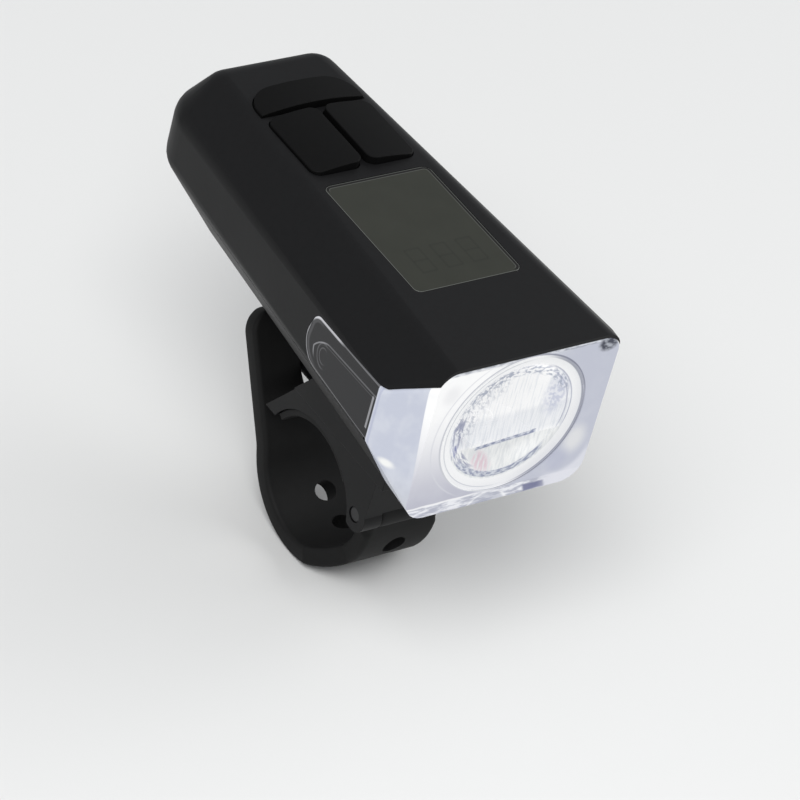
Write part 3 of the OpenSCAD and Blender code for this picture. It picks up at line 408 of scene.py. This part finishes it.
# Slanted facets behind the face in painted light, with a painted highlight low at the rear of each
facetShade = mixColour(root, ramp(z, 26.0, 36.0), (0.6, 0.62, 0.675), (0.57, 0.6, 0.7))
facetCloud = ramp(grain2(root, y * 0.4, z * 0.2, 2.0), 0.42, 0.68)
facetShade = mixColour(root, facetCloud * 0.5, facetShade, (0.7, 0.725, 0.79))
facetHighlight = ramp(length2((y + 32.0) * 0.55 + (z - 34.6) * 0.35, (z - 34.6) * 0.9 - (y + 32.0) * 0.35), 1.2, 0.3)
facetShade = mixColour(root, facetHighlight * 0.9, facetShade, (0.96, 0.96, 0.93))
rearEdge = band(y, optics["shoulderY"] - 0.8, optics["shoulderY"] - 0.35, 0.12)
facetShade = mixColour(root, rearEdge * 0.5, facetShade, (0.4, 0.43, 0.58))
behindFace = ramp(y, faceY + 0.16, faceY + 0.3)
ringPlate = behindFace * ramp(radius, 17.0, 16.8)
foldBack = 0.15 + 1.25 * ramp(z, 28.0, 55.0)
lensShade = mixColour(root, ramp(y - faceY - foldBack, -0.08, 0.08), faceShade, facetShade)
lensShade = mixColour(root, ringPlate, lensShade, ringBand)

# Side windows: dark, with the edge-lit outline of the window and of its pocket
windowShape = {"y1": -32.0, "y2": lensHigh[1], "z1": 37.6, "z2": 49.9, "highR": 2.6, "lowR": 5.0}
pocketShape = {"y1": -27.4, "y2": lensHigh[1] - 2.9, "z1": 38.4, "z2": 47.0, "highR": 3.2, "lowR": 3.5}
tongue = {"fall": 1.8, "lean": 0.9}


def roundCorner(first, second, r):
    # Signed distance to a corner of two edges, rounded by r
    a, b = first + r, second + r
    within = a.math("MAXIMUM", a, b)
    beyond = length2(a.math("MAXIMUM", a, 0.0), b.math("MAXIMUM", b, 0.0))
    return within.math("MINIMUM", within, 0.0) + beyond - r


def tongueOutline(y, z, shape):
    # Signed distance to a tongue whose upper edge falls and whose rear corners are round
    slope = tongue["fall"] / (shape["y2"] - tongue["lean"] - shape["highR"] - shape["y1"])
    above = z - shape["z2"] + (y - shape["y1"]) * slope
    over = z - shape["z1"] - shape["lowR"]
    lean = tongue["lean"] / (shape["z2"] - shape["z1"] - tongue["fall"] - 5.0)
    behind = y - shape["y2"] + over.math("MAXIMUM", over, 0.0) * lean
    high = roundCorner(above, behind, shape["highR"])
    return high.math("MAXIMUM", high, roundCorner(shape["z1"] - z, behind, shape["lowR"]))


rim = tongueOutline(y, z, windowShape)
pocket = tongueOutline(y, z, pocketShape)
rearEnd = ramp(y, -9.5, -6.0)
upperCorner = ramp(y, -16.0, -13.0) * ramp(z, 45.0, 47.5)
lit = band(rim, -0.24, 0.2, 0.06) * (0.15 + 0.13 * rearEnd)
lit = lit + band(rim, -0.45, 0.2, 0.08) * upperCorner * 0.42
lit = lit + band(rim, -1.15, -0.5, 0.12) * rearEnd * 0.05
lit = lit + band(pocket, -0.2, 0.15, 0.06) * (0.1 + 0.12 * ramp(y, -12.0, -9.0)) * ramp(z, 39.4, 41.0)
arcs = length2(y + 10.3, (z - 42.0) * 0.85)
lit = lit + (band(arcs, 2.05, 2.3, 0.08) + band(arcs, 1.3, 1.5, 0.08)) * ramp(y, -11.5, -9.8) * 0.08
lit = lit + band(pocket, -0.75, -0.6, 0.06) * ramp(z, 43.0, 45.0) * 0.06
lit = lit + band(y, -27.5, -26.95, 0.06) * band(z, 39.5, 46.6, 0.1) * 0.3
windowShade = mixColour(root, lit, (0.0045, 0.0045, 0.006), (0.95, 0.95, 1.0))
sideWindow = ramp(y, optics["shoulderY"] - 0.12, optics["shoulderY"] + 0.02)
lensShade = mixColour(root, sideWindow, lensShade, windowShade)
litShader(root, shader, lensShade, 0.42, 0.53)
nearFace = y < faceY + 0.2
solidFace = nearFace * (haloRadius > optics["haloIn"] - 0.02)
solidFace = solidFace + (1.0 - nearFace) * (radius > optics["opening"])
feed(root.tree, 0.05 + 0.95 * solidFace, shader, "Alpha")
setPlain(shader, Roughness=0.12, Specular_IOR_Level=0.25)

# Display: a window bonded to a dull grey-green panel, with a thin painted highlight along its edge and faint
# unlit segments
glassLow, glassHigh = boxOf("display_window")
glassMid = (glassLow + glassHigh) / 2
glassHalf = (glassHigh - glassLow) / 2
displayShape = {"margin": 0.75, "edge": 0.22, "line": 0.1, "cornerR": 1.6}


def displayColour(root, x, y):
    # Panel tone, dark border, thin painted highlight along the edge and faint segment shapes by their place
    # in the window
    wide = abs(x) - (glassHalf[0] - displayShape["cornerR"])
    far = abs(y - glassMid[1]) - (glassHalf[1] - displayShape["cornerR"])
    inner = wide.math("MAXIMUM", wide, far)
    out = length2(wide.math("MAXIMUM", wide, 0.0), far.math("MAXIMUM", far, 0.0))
    rim = out + inner.math("MINIMUM", inner, 0.0) - displayShape["cornerR"]
    cloud = grain2(root, x * 0.15, y * 0.15, 2.0)
    tone = mixColour(root, cloud, (0.021, 0.0225, 0.017), (0.029, 0.0305, 0.0235))
    placeA = (x + 8.2) / 5.6
    placeB = (y - glassMid[1] + 12.6) / 9.2
    cellA = x.math("FRACT", placeA)
    cellB = y.math("FRACT", placeB)
    upright = (band(cellA, 0.14, 0.22, 0.02) + band(cellA, 0.7, 0.78, 0.02)) * band(cellB, 0.14, 0.86, 0.03)
    level = band(cellB, 0.12, 0.17, 0.015) + band(cellB, 0.475, 0.525, 0.015) + band(cellB, 0.83, 0.88, 0.015)
    ghost = upright + level * band(cellA, 0.18, 0.74, 0.03)
    ghost = ghost * band(placeA, 0.0, 3.0, 0.02) * band(placeB, 0.0, 1.0, 0.02)
    tone = mixColour(root, ghost * 0.3, tone, (0.012, 0.013, 0.01))
    rightRear = ramp(x, glassHalf[0] - 2.0, glassHalf[0] - 1.0)
    rightRear = rightRear.math("MAXIMUM", rightRear, ramp(y, glassHigh[1] - 2.0, glassHigh[1] - 1.0))
    border = ramp(rim, -displayShape["margin"] * 0.4, -displayShape["margin"] * 0.25)
    wideBorder = ramp(rim, -displayShape["margin"] - 0.05, -displayShape["margin"] + 0.05) * rightRear
    tone = mixColour(root, border.math("MAXIMUM", border, wideBorder), tone, (0.006, 0.0055, 0.005))
    # Painted highlights: a second thin line inside the border on the right and at the rear, and one along the
    # edge
    second = band(rim, -displayShape["margin"] - 0.12, -displayShape["margin"] + 0.02, 0.05) * rightRear * 0.5
    line = band(rim, -displayShape["edge"], -displayShape["edge"] + displayShape["line"], 0.05)
    return mixColour(root, second.math("MAXIMUM", second, line), tone, (0.12, 0.125, 0.115))


displayGreen, root, shader = newMaterial("displayGreen")
coords, x, y, z = objectCoords(root)
feed(root.tree, displayColour(root, x, y), shader, "Base Color")
feed(root.tree, 0.42 + noise(root, coords, 90.0) * 0.1, shader, "Roughness")
setPlain(shader, Specular_IOR_Level=0.25)

displayGlass, root, shader = newMaterial("displayGlass")
coords, x, y, z = objectCoords(root)
feed(root.tree, displayColour(root, x, y), shader, "Base Color")
feed(root.tree, 0.2 + noise(root, coords, 80.0) * 0.1, shader, "Roughness")
setPlain(shader, Specular_IOR_Level=0.22)

slotMaterials = {
    "housing_black": housing,
    "seal_rubber": rubber,
    "steel": steel,
    "black_steel": blackSteel,
    "clear_lens": lensClear,
    "white_plastic": white,
    "mirror_finish": reflectorLit,
    "emitter_yellow": reflectorLit,
    "aluminium": aluminium,
    "display_glass": displayGlass,
    "display_green": displayGreen,
    "board_green": boardGreen,
    "inner_black": innerBlack,
    "button_rubber": buttonRubber,
    "cell_blue": cellBlue,
    "strap_rubber": strapRubber,
}
# Pieces inside the lamp that glow with painted light: the ring, the bezel and the board
ownMaterials = {
    "light_ring": ringLit,
    "lens_bezel": ringLit,
    "led_board": reflectorLit,
}
nodeSlots = {part["node"]: part["material_slot"] for part in frame["record"]["subparts"]}
nodeBodies = {name: body for body, names in frame["record"]["behaviour"]["bodies"].items() for name in names}
for name, thing in nodes.items():
    thing.data.materials.clear()
    thing.data.materials.append(ownMaterials.get(name, slotMaterials[nodeSlots[name]]))
print("stage: materials set")


def refined(name, width, segments=2, angle=25.0):
    # A merged copy of a CAD node with its sharp edges rounded, in place of the node
    source = nodes[name]
    mesh = source.data.copy()
    mesh.name = name + "Fine"
    form = bmesh.new()
    form.from_mesh(mesh)
    bmesh.ops.remove_doubles(form, verts=form.verts, dist=0.004 * mm)
    bmesh.ops.dissolve_limit(form, angle_limit=math.radians(0.6), verts=form.verts, edges=form.edges)
    form.to_mesh(mesh)
    form.free()
    mesh.shade_smooth()
    thing = bpy.data.objects.new(name + "Fine", mesh)
    bpy.context.scene.collection.objects.link(thing)
    rounding = thing.modifiers.new("rounding", "BEVEL")
    rounding.width = width * mm
    rounding.segments = segments
    rounding.limit_method = "ANGLE"
    rounding.angle_limit = math.radians(angle)
    rounding.harden_normals = True
    weighted = thing.modifiers.new("weighted", "WEIGHTED_NORMAL")
    weighted.keep_sharp = True
    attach(thing, nodeBodies[name])
    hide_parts(name)
    return thing


fineWidths = {
    "upper_shell": 0.25,
    "lower_shell": 0.25,
    "front_lens": 0.12,
    "bracket_saddle": 0.5,
    "swivel_shoe": 0.4,
    "release_tongue": 0.25,
    "mode_button": 0.45,
    "left_button": 0.45,
    "right_button": 0.45,
    "port_cover": 0.2,
    "display_window": 0.15,
    "strap_pin": 0.25,
    "saddle_pad": 0.3,
}
for name, width in fineWidths.items():
    refined(name, width, 3 if width > 0.3 else 2)
print("stage: rounded copies made")


def addMesh(name, points, faces, body, slot, replaced, smoothAngle=35.0):
    # Puts points in millimetres and faces into a new object, with doubles merged and faces outwards
    used, order = np.unique(faces, return_inverse=True)
    mesh = bpy.data.meshes.new(name)
    mesh.from_pydata((points[used] * mm).tolist(), [], order.reshape(faces.shape).tolist())
    form = bmesh.new()
    form.from_mesh(mesh)
    bmesh.ops.remove_doubles(form, verts=form.verts, dist=0.002 * mm)
    bmesh.ops.recalc_face_normals(form, faces=form.faces)
    form.to_mesh(mesh)
    form.free()
    mesh.shade_smooth()
    mesh.set_sharp_from_angle(angle=math.radians(smoothAngle))
    thing = bpy.data.objects.new(name, mesh)
    bpy.context.scene.collection.objects.link(thing)
    mesh.materials.append(slotMaterials[slot])
    if body:
        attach(thing, body)
    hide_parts(*replaced)
    return thing


def gridFaces(rows, cols, closeRows=False, closeCols=False):
    # Quads of a grid of rows by cols points, joined end to end where asked
    i = np.arange(rows if closeRows else rows - 1)[:, None]
    j = np.arange(cols if closeCols else cols - 1)[None, :]
    near, far = i * cols, (i + 1) % rows * cols
    left, right = j, (j + 1) % cols
    return np.stack([near + left, far + left, far + right, near + right], -1).reshape(-1, 4)


# Reflector: a paraboloid bowl whose depth falls with the square of the radius, with upright flutes
# pressed into its upper half, a flat flange round its mouth and a back that follows the front
share = np.linspace(0.0, 1.0, 60)
flangeRadii = [bowl["lip"], bowl["flange"], bowl["flange"], bowl["flangeBack"]]
radii = np.concatenate([share * bowl["mouth"], flangeRadii, share[::-1] * bowl["backMouth"]])
front = np.arange(len(radii)) < len(share)
rear = np.arange(len(radii)) >= len(share) + 4
depth = bowl["deep"] * (1.0 - (radii / bowl["mouth"]) ** 2)
depth = np.where(front, depth, np.where(rear, depth + bowl["wall"], 0.0))
depth[len(share) + 2:len(share) + 4] = bowl["flangeThick"]
turn = np.linspace(0.0, 2 * np.pi, 240, endpoint=False)
bowlX = radii[:, None] * np.cos(turn)
bowlZ = radii[:, None] * np.sin(turn)
fade = np.clip(bowlZ / 2.0, 0.0, 1.0) * (1.0 - (radii[:, None] / bowl["mouth"]) ** 3)
flutes = 0.5 - 0.5 * np.cos(np.pi * bowl["flutes"] * (bowlX / bowl["mouth"] + 1.0))
bowlY = mouthY + depth[:, None] - bowl["fluteDeep"] * flutes * fade * front[:, None]
bowlPoints = np.stack([bowlX, bowlY, bowlZ + beamZ], -1).reshape(-1, 3)
bowlFaces = gridFaces(len(radii), len(turn), closeCols=True)
addMesh("reflectorBowl", bowlPoints, bowlFaces, "lamp", "mirror_finish", ["reflector"])
print("stage: reflector made")

# Strap: a thick sheet carried along a path in Y and Z. The path drops from the pin, follows the
# clamp's circle, bends a little outwards and runs straight into the pull tab.
strap = {
    "clampR": 12.7,
    "thick": 3.8,
    "half": 12.0,
    "eyeHalf": 7.75,
    "neckHalf": 8.1,
    "taperStart": 216.0,
    "taperLen": 8.0,
    "drop": 5.5,
    "pin": (-15.7, 5.5),
    "eyeR": 3.4,
    "pinR": 1.55,
    "endAngle": 348.0,
    "lean": 31.0,
    "tab": 26.5,
    "round": 0.9,
    "cornerR": 4.5,
    "holes": (200.0, 234.0, 268.0, 302.0),
    "holeR": 2.3,
    "pegZ": 9.5,
    "grooves": 3,
}
midR = strap["clampR"] + strap["thick"] / 2
arc = midR * math.radians(strap["endAngle"] - 180.0)
hingeAt = strap["drop"] + arc
fullLen = hingeAt + strap["tab"]
step = 0.3
quarter = np.radians([0.0, 22.5, 45.0, 67.5])
edgeIn = strap["round"] * (1.0 - np.cos(quarter))
edgeDrop = strap["round"] * (1.0 - np.sin(quarter))
firstAt = strap["drop"] - 3.0
count = int(round((fullLen - strap["round"] - firstAt) / step))
along = np.concatenate([firstAt + step * np.arange(count), fullLen - edgeIn[::-1]])
endDrop = np.concatenate([np.zeros(count), edgeDrop[::-1]])
inner = np.linspace(-1.0, 1.0, 37)
angle = np.clip(along - strap["drop"], 0.0, arc) / midR - math.radians(strap["taperStart"] - 180.0)
swell = np.where(angle > 1.2, 1.0, np.clip(midR * np.sin(angle) / strap["taperLen"], 0.0, 1.0))
neck = strap["eyeHalf"] + (strap["neckHalf"] - strap["eyeHalf"]) * np.clip(along - strap["drop"], 0.0, 1.0)
half = neck + (strap["half"] - neck) * swell
past = np.clip(along - (fullLen - strap["cornerR"]), 0.0, strap["cornerR"])
half = half - (strap["cornerR"] - np.sqrt(strap["cornerR"] ** 2 - past ** 2))
body = inner[None, :] * (half[:, None] - strap["round"])
over = np.concatenate([edgeIn[None, :] - half[:, None], body, half[:, None] - edgeIn[None, ::-1]], 1)
sideDrop = np.concatenate([edgeDrop, np.zeros(len(inner)), edgeDrop[::-1]])
sink = np.maximum(sideDrop[None, :], endDrop[:, None])
run = np.repeat(along[:, None], over.shape[1], 1)
rowNumber = np.arange(len(along))[:, None]
columnNumber = (np.arange(over.shape[1]) - over.shape[1] // 2)[None, :]
columnStep = (half - strap["round"]) * 2 / (len(inner) - 1)

# Each hole opens a block of the grid: its border moves onto a rounded rectangle, and the shift
# fades out at reach times the block
hingeZ = midR * math.sin(math.radians(strap["endAngle"]))
slotAt = hingeAt + (strap["pegZ"] - hingeZ) / math.cos(math.radians(strap["lean"]))
holeList = [{"at": slotAt, "half": (5.8, 2.5), "r": 2.4, "block": (4.8, 1.85), "reach": 1.7}]
for degrees in strap["holes"]:
    at = strap["drop"] + midR * math.radians(degrees - 180.0)
    r = strap["holeR"]
    holeList.append({"at": at, "half": (r, r), "r": r, "block": (1.8, 1.85), "reach": 2.3})
keep = np.ones((run.shape[0] - 1, run.shape[1] - 1), bool)
for hole in holeList:
    middle = int(np.argmin(np.abs(along - hole["at"])))
    a = (rowNumber - middle) / round(hole["block"][0] / step)
    b = columnNumber / round(hole["block"][1] / columnStep[middle])
    size = np.maximum(np.maximum(np.abs(a), np.abs(b)), 1e-6)
    stretch = np.hypot(a, b) / size
    rimA = a / size * (hole["half"][0] - hole["r"] + hole["r"] / stretch)
    rimB = b / size * (hole["half"][1] - hole["r"] + hole["r"] / stretch)
    part = np.clip((size - 1.0) / (hole["reach"] - 1.0), 0.0, 1.0)
    near = size < hole["reach"]
    centre = (size[:-1, :-1] + size[1:, 1:] + size[1:, :-1] + size[:-1, 1:]) / 4
    keep &= centre > 1.0
    run = np.where(near, along[middle] + rimA + part * (run - along[middle] - rimA), run)
    over = np.where(near, rimB + part * (over - rimB), over)

fineAt = np.linspace(0.0, fullLen + 1.0, 4000)
bend = np.clip((fineAt - hingeAt + 2.0) / 4.0, 0.0, 1.0)
bend = bend * bend * (3.0 - 2.0 * bend)
heading = np.radians(270.0) + np.clip(fineAt - strap["drop"], 0.0, arc) / midR
heading = heading - bend * math.radians(strap["lean"] - (360.0 - strap["endAngle"]))
midHeading = (heading[1:] + heading[:-1]) / 2
stride = fineAt[1] - fineAt[0]
pathY = np.cumsum(np.concatenate([[-midR], np.cos(midHeading) * stride]))
pathZ = np.cumsum(np.concatenate([[strap["drop"]], np.sin(midHeading) * stride]))
centreY = np.interp(run, fineAt, pathY)
centreZ = np.interp(run, fineAt, pathZ)
facing = np.interp(run, fineAt, heading)
grip = np.zeros_like(run)
for k in range(strap["grooves"]):
    grip += 0.4 * np.clip(1.0 - ((run - (fullLen - 3.2 - 2.0 * k)) / 0.5) ** 2, 0.0, 1.0)
grip *= np.abs(over) < strap["half"] - 3.0


def strapSheet(offset):
    # Points of the sheet at a distance from its middle, outwards positive
    sheetY = centreY + np.sin(facing) * offset
    sheetZ = centreZ - np.cos(facing) * offset
    return np.stack([over, sheetY, sheetZ], -1).reshape(-1, 3)


rows, cols = run.shape
index = np.arange(rows * cols).reshape(rows, cols)
under = rows * cols
cells = np.stack([index[:-1, :-1], index[1:, :-1], index[1:, 1:], index[:-1, 1:]], -1)[keep]
framed = np.pad(keep, 1)
acrossEdge = np.stack([index[:, :-1], index[:, 1:], index[:, 1:] + under, index[:, :-1] + under], -1)
alongEdge = np.stack([index[:-1, :], index[1:, :], index[1:, :] + under, index[:-1, :] + under], -1)
acrossOpen = framed[:-1, 1:-1] != framed[1:, 1:-1]
alongOpen = framed[1:-1, :-1] != framed[1:-1, 1:]
sheetFaces = np.concatenate([cells, cells[:, ::-1] + under, acrossEdge[acrossOpen], alongEdge[alongOpen]])
halfThick = strap["thick"] / 2 - sink
sheetPoints = np.concatenate([strapSheet(halfThick - grip), strapSheet(-halfThick)])

# Eye of the strap: a ring about the pin, its profile a rounded rectangle
loop = np.linspace(0.0, 2 * np.pi, 48, endpoint=False)
power = 0.16
loopX = np.sign(np.cos(loop)) * np.abs(np.cos(loop)) ** power * strap["eyeHalf"]
wallMid = (strap["eyeR"] + strap["pinR"]) / 2
wallHalf = (strap["eyeR"] - strap["pinR"]) / 2
loopR = wallMid + np.sign(np.sin(loop)) * np.abs(np.sin(loop)) ** 0.4 * wallHalf
eyeTurn = np.linspace(0.0, 2 * np.pi, 64, endpoint=False)
eyePoints = np.stack([
    np.repeat(loopX[:, None], len(eyeTurn), 1),
    strap["pin"][0] + loopR[:, None] * np.cos(eyeTurn),
    strap["pin"][1] + loopR[:, None] * np.sin(eyeTurn),
], -1).reshape(-1, 3)
eyeFaces = gridFaces(len(loop), len(eyeTurn), True, True) + len(sheetPoints)
strapPoints = np.concatenate([sheetPoints, eyePoints])
strapFaces = np.concatenate([sheetFaces, eyeFaces])
strapNodes = ["strap_band", "strap_tab"]
strapBand = addMesh("strapBand", strapPoints, strapFaces, None, "strap_rubber", strapNodes, 50.0)
rims = strapBand.modifiers.new("rims", "BEVEL")
rims.width = 0.22 * mm
rims.segments = 2
rims.limit_method = "ANGLE"
rims.angle_limit = math.radians(60.0)
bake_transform(strapBand)
print("stage: strap made")

# Floor at the lowest point of the clamp
floorMesh = bpy.data.meshes.new("floor")
floorZ = cadLow.z
floorCorners = [(-4, -4, floorZ), (4, -4, floorZ), (4, 4, floorZ), (-4, 4, floorZ)]
floorMesh.from_pydata(floorCorners, [], [(0, 1, 2, 3)])
floor = bpy.data.objects.new("floor", floorMesh)
bpy.context.scene.collection.objects.link(floor)
floorMaterial, root, shader = newMaterial("floorPale")
setPlain(shader, Base_Color=(0.72, 0.72, 0.71, 1), Roughness=0.8)
floorMesh.materials.append(floorMaterial)

# Camera turned and placed as the photo shows the lamp
view = {"turns": (-42.874, 37.463, 15.751), "away": 825.005, "right": 8.21, "up": 13.206, "focal": 4397.026}
azimuth, elevation, roll = (math.radians(a) for a in view["turns"])
flat = math.cos(elevation)
back = Vector((math.sin(azimuth) * flat, -math.cos(azimuth) * flat, math.sin(elevation)))
across = Vector((math.cos(azimuth), math.sin(azimuth), 0))
up = back.cross(across)
turnedX = math.cos(roll) * across + math.sin(roll) * up
turnedY = math.cos(roll) * up - math.sin(roll) * across
place = (back * view["away"] + turnedX * view["right"] + turnedY * view["up"]) * mm
camera = bpy.data.objects.new("camera", bpy.data.cameras.new("camera"))
camera.data.sensor_width = 36.0
camera.data.lens = 36.0 * view["focal"] / 800.0
camera.data.clip_start = 0.05
camera.data.clip_end = 20.0
axes = Matrix((turnedX, turnedY, back)).transposed()
camera.matrix_world = Matrix.Translation(place) @ axes.to_4x4()
bpy.context.scene.collection.objects.link(camera)
bpy.context.scene.camera = camera

# Soft studio light: two large panels and an even pale surround
lights = {
    "keyPanel": {"at": (-0.5, -0.35, 0.9), "size": 0.7, "power": 9.0},
    "fillPanel": {"at": (0.95, -0.1, 0.5), "size": 0.8, "power": 5.0},
}
for name, light in lights.items():
    panel = bpy.data.lights.new(name, "AREA")
    panel.size = light["size"]
    panel.energy = light["power"]
    lamp = bpy.data.objects.new(name, panel)
    lamp.location = light["at"]
    lamp.rotation_mode = "QUATERNION"
    lamp.rotation_quaternion = Vector(light["at"]).to_track_quat("Z", "Y")
    bpy.context.scene.collection.objects.link(lamp)
world = bpy.data.worlds.new("surround")
bpy.context.scene.world = world
world.use_nodes = True
world.node_tree.nodes["Background"].inputs["Color"].default_value = (0.9, 0.92, 0.95, 1)
world.node_tree.nodes["Background"].inputs["Strength"].default_value = 0.55
bpy.context.scene.view_settings.view_transform = "Standard"
print("stage: camera, floor and light set")
